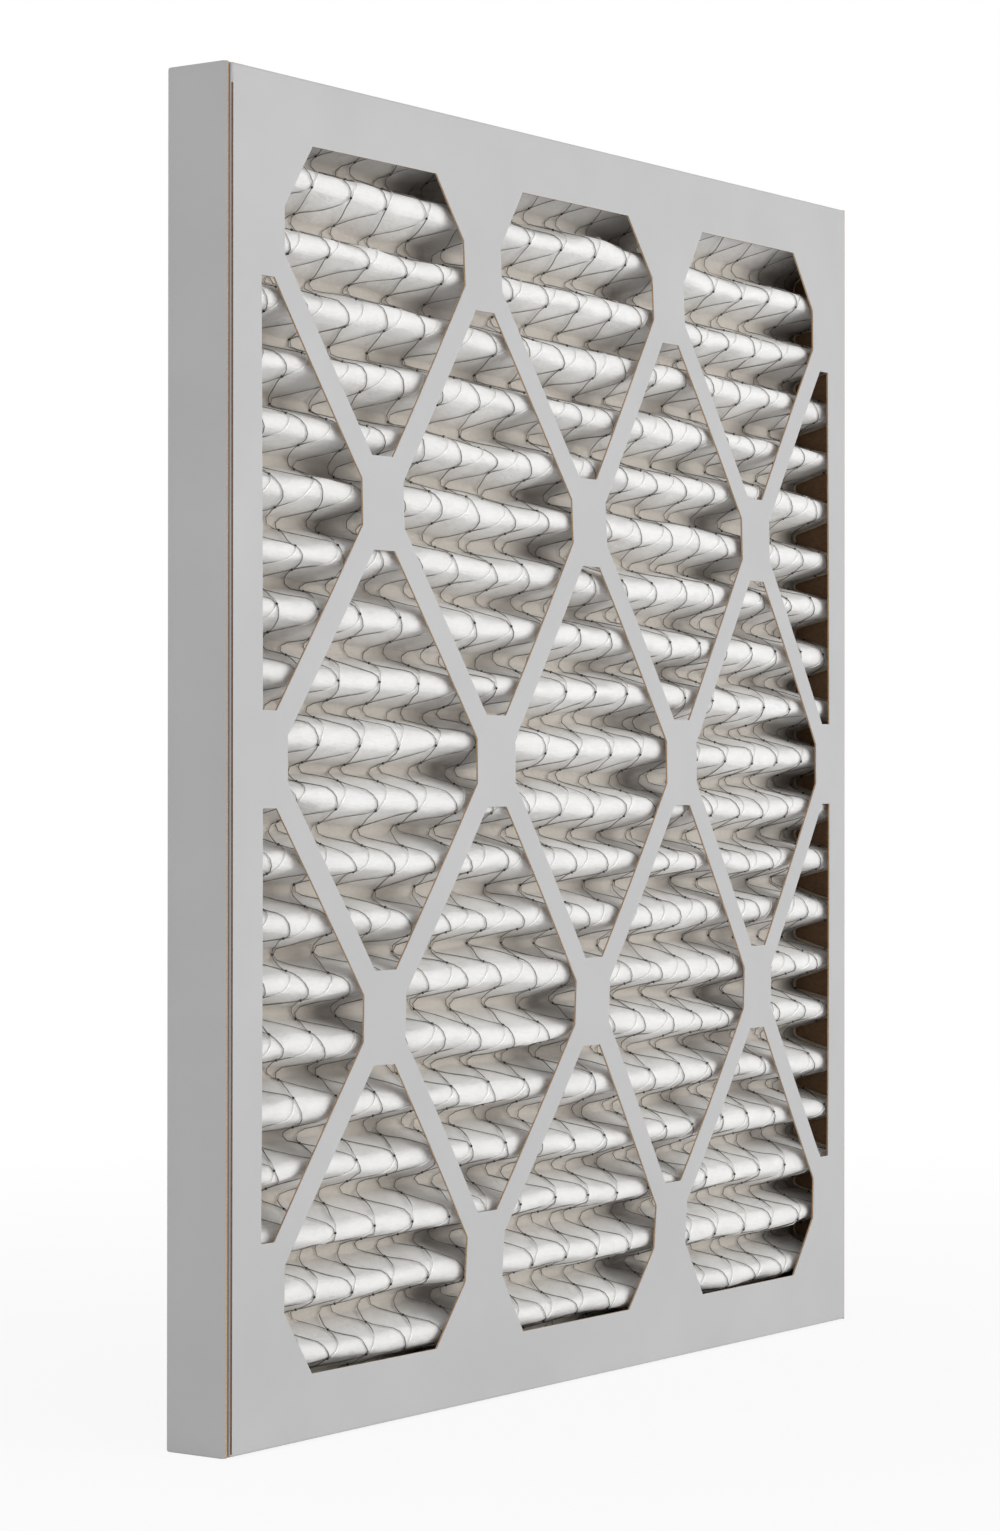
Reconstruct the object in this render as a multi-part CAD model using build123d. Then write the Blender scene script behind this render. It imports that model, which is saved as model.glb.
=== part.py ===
from build123d import *
import math
import os

# A pleated panel air filter, nominal 14 x 16 x 1 in.
# X runs across the face, Y from the air-leaving face (-Y) to the air-entering face, Z up.
# While the pieces are made, y = 0 is the front rim; they are centred at the end.

# Frame
WIDTH = 342.9
HEIGHT = 393.7
DEPTH = 23.0
BOARD = 0.6
CORNER_TAB = 24.0
SIDE_SETBACK = 0.9
END_SETBACK = 3.0

# Lattice, the same die-cut pattern on both faces
SIDE_BORDER = 13.8
END_BORDER = 19.7
COLUMN_PITCH = 104.5
ROW_PITCH = 75.75
OPENING_HALF_WIDTH = 42.8
OPENING_HALF_HEIGHT = 61.8
APEX_HALF_EDGE = 4.8
SIDE_HALF_EDGE = 6.85

# How far the whole pack bows forward, and how much fuller the lower half is
BOW = 8.3
LOWER_FULLNESS = 0.5
BOW_STATIONS = 5

# Pleated media and its wire backing
PLEATS = 22
MEDIA = 1.6
WIRE = 0.4
TIP_RADIUS = 2.5
TIP_STEP = 34.5
ROUND_TIP = (-1.5, -0.5, 0.5, 1.5)
BLUNT_TIP = (-1.5, 1.5)
GAP_PITCH = 66.0
GAP_HALF_WIDTH = 28.5
GAP_HALF_HEIGHT = 5.2
FRONT_CLEARANCE = 0.12
REAR_CLEARANCE = 0.75

# Glue
SIDE_BEAD = 1.2
BEAD_OVERLAP = 0.25
END_BEAD_HEIGHT = 8.0
END_BEAD_CLIMB = 5.0
BEAD_CLEARANCE = 0.02

# The front tray nests inside the rear tray: its side walls leave room for the rear tray's corner
# tabs, and its top and bottom walls touch.
FRONT_WIDTH = WIDTH - 4 * BOARD
FRONT_HEIGHT = HEIGHT - 2 * BOARD
INNER_HALF_WIDTH = FRONT_WIDTH / 2 - BOARD
INNER_BOTTOM = 2 * BOARD
INNER_TOP = HEIGHT - 2 * BOARD
PITCH = (INNER_TOP - INNER_BOTTOM) / PLEATS
PACK_HALF_WIDTH = INNER_HALF_WIDTH - SIDE_BEAD
FLAT_RIM = WIDTH / 2 - PACK_HALF_WIDTH
FRONT_TIP = BOARD + FRONT_CLEARANCE + WIRE + MEDIA / 2
REAR_TIP = DEPTH - BOARD - REAR_CLEARANCE - MEDIA / 2


def bow(x, z):
    """How far the pack and both lattices stand forward at a point of the face."""
    across = math.sin(math.pi * (x / WIDTH + 0.5))
    down = 1 - z / HEIGHT
    along = math.sin(math.pi * down) * (1 + LOWER_FULLNESS * (down - 0.5))
    return BOW * across * along


def upright(sketch, y, depth):
    """Extrude a sketch drawn in x and z from the plane at y, towards the rear."""
    plane = Plane(origin=(0, y, 0), x_dir=(1, 0, 0), z_dir=(0, -1, 0))
    return extrude(plane * sketch, -depth)


def box_between(x, y, z):
    """A box from its low and high limits on each axis."""
    size = [high - low for low, high in (x, y, z)]
    centre = [(high + low) / 2 for low, high in (x, y, z)]
    return Pos(*centre) * Box(*size)


# ---------------------------------------------------------------- lattice and trays

def opening(x, z):
    """One stretched octagon of the lattice, centred at (x, z)."""
    corners = [
        (APEX_HALF_EDGE, OPENING_HALF_HEIGHT),
        (OPENING_HALF_WIDTH, SIDE_HALF_EDGE),
        (OPENING_HALF_WIDTH, -SIDE_HALF_EDGE),
        (APEX_HALF_EDGE, -OPENING_HALF_HEIGHT),
    ]
    corners += [(-across, up) for across, up in reversed(corners)]
    return Pos(x, z) * Polygon(*corners, align=None)


def openings():
    """All openings of a face: full ones inside, cut off straight along the borders."""
    shapes = []
    for row in range(-2, 3):
        columns = (-1, 0, 1) if row % 2 == 0 else (-1.5, -0.5, 0.5, 1.5)
        for column in columns:
            shapes.append(opening(column * COLUMN_PITCH, HEIGHT / 2 + row * ROW_PITCH))
    window = Pos(0, HEIGHT / 2) * Rectangle(WIDTH - 2 * SIDE_BORDER, HEIGHT - 2 * END_BORDER)
    return Sketch() + [shape & window for shape in shapes]


def bowed_sheet(y, width, height):
    """A sheet of board that follows the bow, its forward side at y where the bow is nothing."""
    columns = rows = 13
    low = (HEIGHT - height) / 2
    grid = [
        [
            Vector(x, y - bow(x, z), z)
            for z in (low + height * j / (rows - 1) for j in range(rows))
        ]
        for x in (width * (i / (columns - 1) - 0.5) for i in range(columns))
    ]
    surface = Face.make_surface_from_array_of_points(grid, tol=0.005)
    rearward = 1 if surface.normal_at(surface.center()).Y > 0 else -1
    return thicken(surface, rearward * BOARD)


def lattice(y, width, height):
    """The die-cut face: a bowed sheet with the openings cut out and a flat rim round it."""
    outline = Pos(0, HEIGHT / 2) * Rectangle(width, height)
    inside = Pos(0, HEIGHT / 2) * Rectangle(WIDTH - 2 * FLAT_RIM, HEIGHT - 2 * FLAT_RIM)
    reach = 2 * BOW
    web = upright(inside - openings(), y - reach, 2 * reach)
    rim = upright(outline - inside, y, BOARD)
    return rim + (bowed_sheet(y, width, height) & web)


def walls(width, height, y, depth):
    """The four side walls of a tray."""
    outline = Pos(0, HEIGHT / 2) * Rectangle(width, height)
    inside = Pos(0, HEIGHT / 2) * Rectangle(width - 2 * BOARD, height - 2 * BOARD)
    return upright(outline - inside, y, depth)


def corner_tabs(inner_half_width, bottom, top, y, depth):
    """The glue tabs folded round from the top and bottom walls, flat on the side walls."""
    tabs = []
    for side in (-1, 1):
        face = side * inner_half_width
        across = sorted((face, face - side * BOARD))
        for end in ((bottom, bottom + CORNER_TAB), (top - CORNER_TAB, top)):
            tabs.append(box_between(across, (y, y + depth), end))
    return tabs


def front_tray():
    depth = DEPTH - 2 * BOARD
    tray = lattice(0, FRONT_WIDTH, FRONT_HEIGHT) + walls(FRONT_WIDTH, FRONT_HEIGHT, 0, depth)
    for tab in front_tabs():
        tray += tab
    return tray


def front_tabs():
    start = 2 * BOARD
    return corner_tabs(INNER_HALF_WIDTH, INNER_BOTTOM, INNER_TOP, start, DEPTH - 2 * BOARD - start)


def rear_tray():
    """The outer tray; its walls stop short of the front rim, the top and bottom ones by more."""
    tray = lattice(DEPTH - BOARD, WIDTH, HEIGHT) + walls(WIDTH, HEIGHT, END_SETBACK, DEPTH - END_SETBACK)
    for side in (-1, 1):
        across = sorted((side * WIDTH / 2, side * (WIDTH / 2 - BOARD)))
        tray += box_between(across, (SIDE_SETBACK, DEPTH), (0, HEIGHT))
    start = END_SETBACK + BOARD
    for tab in corner_tabs(WIDTH / 2 - BOARD, BOARD, HEIGHT - BOARD, start, DEPTH - 2 * BOARD - start):
        tray += tab
    return tray


# ---------------------------------------------------------------- pleats

def tip(z, y, forward, steps):
    """The middle line round one pleat tip, upwards in z; forward tips point to -Y."""
    sign = 1 if forward else -1
    centre = y + sign * TIP_RADIUS * math.cos(math.radians(TIP_STEP / 2))
    points = []
    for step in steps:
        angle = math.radians(step * TIP_STEP)
        points.append((centre - sign * TIP_RADIUS * math.cos(angle), z + TIP_RADIUS * math.sin(angle)))
    return points


def pleat_line(steps=ROUND_TIP):
    """The middle line of the media in the plane of y and z, from the bottom wall to the top."""
    points = [tip(INNER_BOTTOM, REAR_TIP, False, steps)[-1]]
    for pleat in range(PLEATS):
        points += tip(INNER_BOTTOM + (pleat + 0.5) * PITCH, FRONT_TIP, True, steps)
        points += tip(INNER_BOTTOM + (pleat + 1) * PITCH, REAR_TIP, False, steps)
    return points[:1 - len(steps)]


def offset_line(points, distance):
    """A line parallel to a folded line, mitred at the folds; positive is towards -Y."""
    moved = []
    for index, (y, z) in enumerate(points):
        before = points[max(index - 1, 0)]
        after = points[min(index + 1, len(points) - 1)]
        normals = []
        for start, end in ((before, (y, z)), ((y, z), after)):
            run = (end[0] - start[0], end[1] - start[1])
            length = math.hypot(*run)
            if length > 0:
                normals.append((-run[1] / length, run[0] / length))
        sum_y = sum(normal[0] for normal in normals)
        sum_z = sum(normal[1] for normal in normals)
        scale = distance * len(normals) / (sum_y ** 2 + sum_z ** 2)
        moved.append((y + sum_y * scale, z + sum_z * scale))
    return moved


def bowed_loft(outline, x_values):
    """A solid of one outline in y and z, carried across the filter and pushed out by the bow."""
    sections = []
    for x in x_values:
        corners = [Vector(x, y - bow(x, z), z) for y, z in outline]
        sections.append(Face(Wire.make_polygon(corners, close=True)))
    return loft(sections, ruled=True)


def folded_band(near, far, steps=ROUND_TIP):
    """The outline of a folded layer between two distances from the middle line."""
    line = pleat_line(steps)
    return offset_line(line, far) + offset_line(line, near)[::-1]


def stations():
    last = BOW_STATIONS - 1
    return [PACK_HALF_WIDTH * (2 * step / last - 1) for step in range(BOW_STATIONS)]


def pleated_media():
    return bowed_loft(folded_band(-MEDIA / 2, MEDIA / 2), stations())


def wire_backing():
    """The expanded wire: one folded sheet, opened into staggered diamonds along the ridges."""
    sheet = bowed_loft(folded_band(MEDIA / 2, MEDIA / 2 + WIRE), stations())
    diamond = Polygon(
        (GAP_HALF_WIDTH, 0), (0, GAP_HALF_HEIGHT), (-GAP_HALF_WIDTH, 0), (0, -GAP_HALF_HEIGHT), align=None
    )
    gaps = []
    for ridge in range(PLEATS):
        z = INNER_BOTTOM + (ridge + 0.5) * PITCH
        count = 4 + ridge % 2
        if 0 < ridge < PLEATS - 1:
            gaps += [Pos((i - (count - 1) / 2) * GAP_PITCH, z) * diamond for i in range(count)]
    return sheet - upright(Sketch() + gaps, -2 * BOW, DEPTH + 2 * BOW)


# ---------------------------------------------------------------- glue

def side_bead(side):
    """The zigzag bead that the pleat ends are set in, over the front tray's corner tabs."""
    reach = MEDIA / 2 + BEAD_OVERLAP
    x_values = sorted((side * INNER_HALF_WIDTH, side * PACK_HALF_WIDTH))
    bead = bowed_loft(folded_band(-reach, reach, BLUNT_TIP), x_values)
    for tab in front_tabs():
        bead -= tab
    return bead


def end_bead(top):
    """The wedge of glue between an end wall, the last flank of the pack and the rear board."""
    line = pleat_line()
    wall_side = offset_line(line, MEDIA / 2 + WIRE + BEAD_CLEARANCE)
    pack_side = offset_line(line, -MEDIA / 2)
    wall = INNER_BOTTOM
    end, fold = 0, 1
    if top:
        wall = INNER_TOP
        end, fold = -1, -2
    start_y, start_z = wall_side[end]
    fold_y, fold_z = wall_side[fold]
    climb = END_BEAD_CLIMB / math.hypot(fold_y - start_y, fold_z - start_z)
    rear = DEPTH - BOARD - REAR_CLEARANCE
    outline = [
        (rear, wall),
        (rear - END_BEAD_HEIGHT, wall),
        (start_y + climb * (fold_y - start_y), start_z + climb * (fold_z - start_z)),
        wall_side[end],
        pack_side[end],
        (rear, pack_side[end][1]),
    ]
    return bowed_loft(outline, stations())


def build():
    """Every piece by its name, in the order they go together."""
    return {
        "rear_tray": rear_tray(),
        "pleated_media": pleated_media(),
        "wire_backing": wire_backing(),
        "side_bead_left": side_bead(-1),
        "side_bead_right": side_bead(1),
        "end_bead_bottom": end_bead(top=False),
        "end_bead_top": end_bead(top=True),
        "front_tray": front_tray(),
    }


os.makedirs("parts", exist_ok=True)
pieces = build()
middle = (pieces["front_tray"].bounding_box().min.Y + DEPTH) / 2
for name, shape in pieces.items():
    export_step(Pos(0, -middle, 0) * shape, f"parts/{name}.step")
print("front rim at y =", round(-middle, 4), "mm")
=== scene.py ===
# %% [markdown]
# # A pleated panel air filter
# A flat filter that slides into a duct or a return grille. Two trays of clay-coated board nest
# into each other, each with a die-cut lattice for its face. Between them lies one long sheet of
# white nonwoven, folded into pleats that run across the width, with expanded wire bonded to the
# side that the air leaves. The lesson makes the pieces in the order they go together. It starts
# from the solids in model.glb, and measures them before anything is added.

# %% The frame, and what the imported solids measure
import math

import bmesh
import bpy
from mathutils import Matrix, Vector


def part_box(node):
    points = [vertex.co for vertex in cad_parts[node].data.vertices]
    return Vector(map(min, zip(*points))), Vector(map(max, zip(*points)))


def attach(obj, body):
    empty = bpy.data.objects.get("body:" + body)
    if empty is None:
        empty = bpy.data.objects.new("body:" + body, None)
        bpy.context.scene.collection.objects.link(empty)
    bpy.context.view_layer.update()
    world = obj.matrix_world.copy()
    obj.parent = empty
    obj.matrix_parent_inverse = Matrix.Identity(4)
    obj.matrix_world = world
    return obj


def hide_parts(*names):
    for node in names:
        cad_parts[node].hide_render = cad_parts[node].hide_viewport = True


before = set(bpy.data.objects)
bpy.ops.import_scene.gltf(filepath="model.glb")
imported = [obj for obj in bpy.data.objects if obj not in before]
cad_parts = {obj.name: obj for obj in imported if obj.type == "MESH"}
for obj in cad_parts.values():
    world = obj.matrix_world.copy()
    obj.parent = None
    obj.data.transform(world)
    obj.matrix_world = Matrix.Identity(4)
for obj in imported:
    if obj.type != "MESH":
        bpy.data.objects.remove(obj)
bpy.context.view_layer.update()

# %% [markdown]
# ## Sizes
# Everything is in metres. The named sizes are those of the solids: the nominal 14 x 16 x 1 in
# filter, 0.6 mm board, and twenty-two pleats in the height. Each could be measured off a solid
# instead, but a filter is drawn from a few numbers, and the same few make every piece fit here.
# Only the place of the front rim is measured.

# %% Sizes of the frame, the lattice, the pack and the wire
MM = 0.001
WIDTH = 342.9 * MM
HEIGHT = 393.7 * MM
DEPTH = 23.0 * MM
BOARD = 0.6 * MM
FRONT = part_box("rear_tray")[1][1] - DEPTH
CORNER_TAB = 24 * MM
SIDE_SETBACK = 0.9 * MM
END_SETBACK = 3.0 * MM
FOLD_RADIUS = 0.75 * MM

SIDE_BORDER = 13.8 * MM
END_BORDER = 19.7 * MM
COLUMN_PITCH = 104.5 * MM
ROW_PITCH = 75.75 * MM
OPENING_HALF_WIDTH = 42.8 * MM
OPENING_HALF_HEIGHT = 61.8 * MM
APEX_HALF_EDGE = 4.8 * MM
SIDE_HALF_EDGE = 6.85 * MM

BOW = 8.3 * MM
LOWER_FULLNESS = 0.5

PLEATS = 22
MEDIA = 1.6 * MM
WIRE = 0.4 * MM
TIP_RADIUS = 2.5 * MM
FRONT_CLEARANCE = 0.12 * MM
REAR_CLEARANCE = 0.75 * MM
SIDE_BEAD = 1.2 * MM

FRONT_WIDTH = WIDTH - 4 * BOARD
FRONT_HEIGHT = HEIGHT - 2 * BOARD
INNER_HALF_WIDTH = FRONT_WIDTH / 2 - BOARD
PACK_HALF_WIDTH = INNER_HALF_WIDTH - SIDE_BEAD
INNER_BOTTOM = 2 * BOARD
PITCH = (HEIGHT - 4 * BOARD) / PLEATS
print("pleat pitch %.2f mm, front rim at y = %.2f mm" % (PITCH / MM, FRONT / MM))


# %% [markdown]
# ## Small tools for node trees
# Shaders and geometry are both built from nodes here. Nodes are usually placed by hand, which is
# slow to read back as a script. One function adds a node with its settings and links, another does
# one step of arithmetic, and a third names a colour, so that each tree reads from top to bottom.

# %% Tools: add a node, do a sum, name a colour
def add(tree, kind, inputs=None, **settings):
    """Add a node, give it its settings, and fill its inputs with values or with links."""
    node = tree.nodes.new(kind)
    for name, value in settings.items():
        setattr(node, name, value)
    for key, value in (inputs or {}).items():
        socket = node.inputs[key]
        if isinstance(value, bpy.types.NodeSocket):
            tree.links.new(value, socket)
        else:
            socket.default_value = value
    return node


def sum_of(tree, operation, *values):
    return add(tree, "ShaderNodeMath", dict(enumerate(values)), operation=operation).outputs[0]


def linear(code):
    """A colour written as sRGB hex, in the linear values that a shader takes."""
    channels = [int(code[i:i + 2], 16) / 255 for i in (1, 3, 5)]
    return [c / 12.92 if c <= 0.04045 else ((c + 0.055) / 1.055) ** 2.4 for c in channels] + [1.0]


print("node tools ready")


# %% [markdown]
# ## Finishes
# A finish could be a picture wrapped round the piece. Here each one is worked out from noise, laid
# out in real millimetres over the object, so that it needs no unwrapping and shows no seams. These
# are the steps that all the finishes share.

# %% Tools: start a finish, grain of a given size, two-tone colour, bumps
def finish_start(name):
    material = bpy.data.materials.new(name)
    material.use_nodes = True
    tree = material.node_tree
    tree.nodes.clear()
    shader = add(tree, "ShaderNodeBsdfPrincipled")
    add(tree, "ShaderNodeOutputMaterial", {"Surface": shader.outputs[0]})
    place = add(tree, "ShaderNodeTexCoord").outputs["Object"]
    return material, tree, shader, place


def grain(tree, place, size_mm, detail=3.0, stretch=(1, 1, 1)):
    """Noise whose lumps are about size_mm across."""
    scaled = add(tree, "ShaderNodeMapping", {"Vector": place, "Scale": stretch}).outputs[0]
    return add(tree, "ShaderNodeTexNoise",
               {"Vector": scaled, "Scale": 1 / (size_mm * MM), "Detail": detail}).outputs["Fac"]


def tone(tree, amount, dark, light, low=0.3, high=0.7):
    """A colour between two hex colours, as the amount goes from low to high."""
    ramp = add(tree, "ShaderNodeValToRGB", {"Fac": amount})
    ramp.color_ramp.elements[0].position = low
    ramp.color_ramp.elements[1].position = high
    ramp.color_ramp.elements[0].color = linear(dark)
    ramp.color_ramp.elements[1].color = linear(light)
    return ramp.outputs[0]


def raise_bumps(tree, shader, height, depth_mm, strength=1.0):
    bump = add(tree, "ShaderNodeBump", {"Height": height, "Distance": depth_mm * MM, "Strength": strength})
    tree.links.new(bump.outputs[0], shader.inputs["Normal"])


print("finish tools ready")


# %% [markdown]
# ## The board
# Beverage board has a white-grey clay coat outside and raw kraft inside, and wherever a die cut it
# the edge shows the kraft core. A deep score splits the coat along a fold and lets the core
# through, and the split is painted darker than the core, a painted shade for the narrow groove.
# These are four finishes on one piece, because they are four surfaces of one sheet.

# %% Board finishes: clay coat, raw kraft, cut edge, split fold with painted shade
def coated_board():
    material, tree, shader, place = finish_start("clay_coated_board")
    cloud = grain(tree, place, 35, 4)
    tree.links.new(tone(tree, cloud, "#b7b7b8", "#bcbcbd"), shader.inputs["Base Color"])
    shader.inputs["Roughness"].default_value = 0.5
    shader.inputs["Specular IOR Level"].default_value = 0.35
    raise_bumps(tree, shader, grain(tree, place, 0.9, 4), 0.02, 0.6)
    return material


def kraft():
    material, tree, shader, place = finish_start("raw_kraft")
    fibre = grain(tree, place, 1.2, 6, (1, 1, 3))
    tree.links.new(tone(tree, fibre, "#7d6048", "#94765a"), shader.inputs["Base Color"])
    shader.inputs["Roughness"].default_value = 0.9
    shader.inputs["Specular IOR Level"].default_value = 0.2
    raise_bumps(tree, shader, fibre, 0.05)
    return material


def cut_edge():
    material, tree, shader, place = finish_start("kraft_cut_edge")
    ply = grain(tree, place, 0.5, 4)
    tree.links.new(tone(tree, ply, "#a3825f", "#c4a888"), shader.inputs["Base Color"])
    shader.inputs["Roughness"].default_value = 0.85
    raise_bumps(tree, shader, ply, 0.05)
    return material


def split_fold_and_shade():
    material, tree, shader, place = finish_start("split_fold_and_shade")
    # Partly painted shade: the split shows the core, and is painted darker than the kraft for the shade in
    # the groove.
    fibre = grain(tree, place, 0.8, 4, (1, 1, 3))
    tree.links.new(tone(tree, fibre, "#5a4234", "#7c6250"), shader.inputs["Base Color"])
    shader.inputs["Roughness"].default_value = 0.95
    return material


BOARD_FACE = coated_board()
KRAFT = kraft()
CUT_EDGE = cut_edge()
SPLIT_FOLD_AND_SHADE = split_fold_and_shade()
print("board finishes:", [finish.name for finish in (BOARD_FACE, KRAFT, CUT_EDGE, SPLIT_FOLD_AND_SHADE)])


# %% [markdown]
# ## The felt, the wire and the glue
# The nonwoven is a soft felt of white fibres that light goes some way into. The wire is dull
# galvanised steel, and its knots are coloured near black, a painted shade. The glue dried cream. The
# trees that make the felt and the wire leave a number on each point, how deep it lies or where a
# strand gets a painted highlight, and the finish reads that number; deep in the pleats the felt
# is painted darker and warmer, a painted shade. Painting by hand would have to be done again
# after each change of shape.

# %% Finishes: nonwoven with painted valley shade, galvanised wire with painted highlight, knot with painted shade, dried glue
def nonwoven():
    """White felt; deep in the pleats it is painted darker and warmer, a painted shade with the kraft's
    bounced colour.
    """
    material, tree, shader, place = finish_start("white_nonwoven")
    lumps = grain(tree, place, 8, 2)
    deep = add(tree, "ShaderNodeAttribute", attribute_name="depth").outputs["Fac"]
    white = tone(tree, lumps, "#e9e8e6", "#f0efed")
    deepest = sum_of(tree, "POWER", deep, 2.0)
    # Painted shade: the felt is mixed towards warm grey #c0bab2 as the square of its depth in the pleat.
    painted_valley_shade = add(tree, "ShaderNodeMix", {0: deepest, 6: white, 7: linear("#c0bab2")}, data_type="RGBA")
    tree.links.new(painted_valley_shade.outputs[2], shader.inputs["Base Color"])
    shader.inputs["Roughness"].default_value = 0.95
    shader.inputs["Specular IOR Level"].default_value = 0.1
    shader.inputs["Sheen Weight"].default_value = 0.2
    shader.inputs["Subsurface Weight"].default_value = 0.6
    shader.inputs["Subsurface Radius"].default_value = (1.0, 0.96, 0.9)
    shader.inputs["Subsurface Scale"].default_value = 2.5 * MM
    fibres = grain(tree, place, 0.7, 6, (0.35, 1, 1))
    both = sum_of(tree, "MULTIPLY_ADD", lumps, 4.0, fibres)
    raise_bumps(tree, shader, both, 0.3, 0.8)
    return material


def galvanised():
    """Dull zinc, with a painted highlight near white on the strands that step right over the front tip of a
    pleat.
    """
    material, tree, shader, place = finish_start("galvanised_wire")
    spangle = grain(tree, place, 2, 3)
    painted_glint = add(tree, "ShaderNodeAttribute", attribute_name="painted_glint").outputs["Fac"]
    dull = tone(tree, spangle, "#7b7875", "#a19e9b")
    both = add(tree, "ShaderNodeMix", {0: painted_glint, 6: dull, 7: linear("#f6f6f5")}, data_type="RGBA")
    tree.links.new(both.outputs[2], shader.inputs["Base Color"])
    tree.links.new(sum_of(tree, "MULTIPLY_ADD", painted_glint, -0.4, 0.8), shader.inputs["Metallic"])
    shader.inputs["Roughness"].default_value = 0.35
    return material


def knot_painted_shade():
    # Painted shade: the knots are coloured near black for the shade in the twisted bond.
    material, tree, shader, place = finish_start("knot_painted_shade")
    spangle = grain(tree, place, 1, 3)
    tree.links.new(tone(tree, spangle, "#222120", "#3a3938"), shader.inputs["Base Color"])
    shader.inputs["Metallic"].default_value = 0.6
    shader.inputs["Roughness"].default_value = 0.6
    return material


def dried_glue():
    material, tree, shader, place = finish_start("dried_glue")
    lumps = grain(tree, place, 4, 3)
    tree.links.new(tone(tree, lumps, "#c9bda4", "#ddd4c1"), shader.inputs["Base Color"])
    shader.inputs["Roughness"].default_value = 0.4
    raise_bumps(tree, shader, lumps, 0.2)
    return material


NONWOVEN = nonwoven()
GALVANISED = galvanised()
KNOT_PAINTED_SHADE = knot_painted_shade()
GLUE = dried_glue()
print("other finishes:", [finish.name for finish in (NONWOVEN, GALVANISED, KNOT_PAINTED_SHADE, GLUE)])


# %% [markdown]
# ## Growing a piece
# Each piece starts as a few points or one flat shape, and a node tree does the repeating and the
# bending. The result is kept as a plain mesh, so that nothing is left to work out later. Copying
# and moving meshes by hand would do it too, but a tree keeps the rule and not only its outcome.

# %% Tools: start a tree, grow a mesh with it
def tree_for(name, **sockets):
    """A geometry tree with a geometry input and output and the named inputs."""
    tree = bpy.data.node_groups.new(name, "GeometryNodeTree")
    tree.interface.new_socket("Geometry", in_out="INPUT", socket_type="NodeSocketGeometry")
    for socket, kind in sockets.items():
        tree.interface.new_socket(socket, in_out="INPUT", socket_type="NodeSocket" + kind)
    tree.interface.new_socket("Geometry", in_out="OUTPUT", socket_type="NodeSocketGeometry")
    return tree, add(tree, "NodeGroupInput").outputs


def close_tree(tree, geometry, smooth=True):
    """Every tree ends here: instances made real, shading set, and the geometry sent out."""
    real = add(tree, "GeometryNodeRealizeInstances", {"Geometry": geometry}).outputs[0]
    shaded = add(tree, "GeometryNodeSetShadeSmooth", {"Geometry": real, "Shade Smooth": smooth}).outputs[0]
    add(tree, "NodeGroupOutput", {"Geometry": shaded})


def grow(name, points, edges, faces, tree, values):
    """Make an object from a few points, run a tree over it once, and keep the plain mesh."""
    seed = bpy.data.meshes.new(name + "_seed")
    seed.from_pydata(points, edges, faces)
    piece = bpy.data.objects.new(name, seed)
    bpy.context.collection.objects.link(piece)
    modifier = piece.modifiers.new("grow", "NODES")
    modifier.node_group = tree
    for item in tree.interface.items_tree:
        if item.in_out == "INPUT" and item.name in values:
            modifier[item.identifier] = values[item.name]
    bpy.context.view_layer.update()
    done = bpy.data.meshes.new_from_object(piece.evaluated_get(bpy.context.evaluated_depsgraph_get()))
    piece.modifiers.clear()
    piece.data = done
    done.name = name
    used = [m for m in done.materials if m]
    numbers = [used.index(done.materials[face.material_index]) for face in done.polygons]
    done.materials.clear()
    for material in used:
        done.materials.append(material)
    done.polygons.foreach_set("material_index", numbers)
    print(name, len(done.polygons), "faces,", [m.name for m in done.materials if m])
    return piece


def split(tree, vector):
    return add(tree, "ShaderNodeSeparateXYZ", {0: vector}).outputs


def joined(tree, x, y, z):
    return add(tree, "ShaderNodeCombineXYZ", {0: x, 1: y, 2: z}).outputs[0]


print("tree tools ready")


# %% [markdown]
# ## How the filter bows
# The pack is squeezed between the end walls, so it stands forward in the middle and carries both
# lattices with it. The lower half is a little fuller. A lattice deform could bend each finished
# piece, but then every piece would bend by itself. One formula that all the trees use keeps the
# board, the felt and the wire together.

# %% The bow, as nodes and as a number
def bow_at(tree, x, z):
    """How far the filter stands forward at x and z."""
    across = sum_of(tree, "SINE", sum_of(tree, "MULTIPLY_ADD", x, math.pi / WIDTH, math.pi / 2))
    down = sum_of(tree, "MULTIPLY_ADD", z, -1 / HEIGHT, 1.0)
    along = sum_of(tree, "SINE", sum_of(tree, "MULTIPLY", down, math.pi))
    fuller = sum_of(tree, "MULTIPLY_ADD", down, LOWER_FULLNESS, 1 - LOWER_FULLNESS / 2)
    both = sum_of(tree, "MULTIPLY", across, along)
    return sum_of(tree, "MULTIPLY", sum_of(tree, "MULTIPLY", both, fuller), BOW)


def bow_value(x, z):
    """The same bow as a plain number, for points that are placed one by one."""
    down = 1 - z / HEIGHT
    along = math.sin(math.pi * down) * (1 + LOWER_FULLNESS * (down - 0.5))
    return BOW * math.sin(math.pi * (x / WIDTH + 0.5)) * along


print("the middle stands %.2f mm forward" % (bow_value(0, HEIGHT / 2) / MM))


# %% [markdown]
# ## The die
# A tray is cut flat and then folded. One die punches staggered rows of stretched octagons, and the
# punches stop straight where they meet the borders. The struts could be laid one by one, but their
# widths would drift. One solid punch, set out on every spot and cut off at the borders, gives the
# pattern that both trays share.

# %% The die, and the punches set out as nodes
PUNCH_REACH = 3 * BOARD


def die():
    """One stretched octagon, as the punch makes it, seen flat."""
    corners = [
        (APEX_HALF_EDGE, OPENING_HALF_HEIGHT),
        (OPENING_HALF_WIDTH, SIDE_HALF_EDGE),
        (OPENING_HALF_WIDTH, -SIDE_HALF_EDGE),
        (APEX_HALF_EDGE, -OPENING_HALF_HEIGHT),
    ]
    corners += [(-x, z) for x, z in reversed(corners)]
    return [(x, z, 0) for x, z in reversed(corners)]


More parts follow.
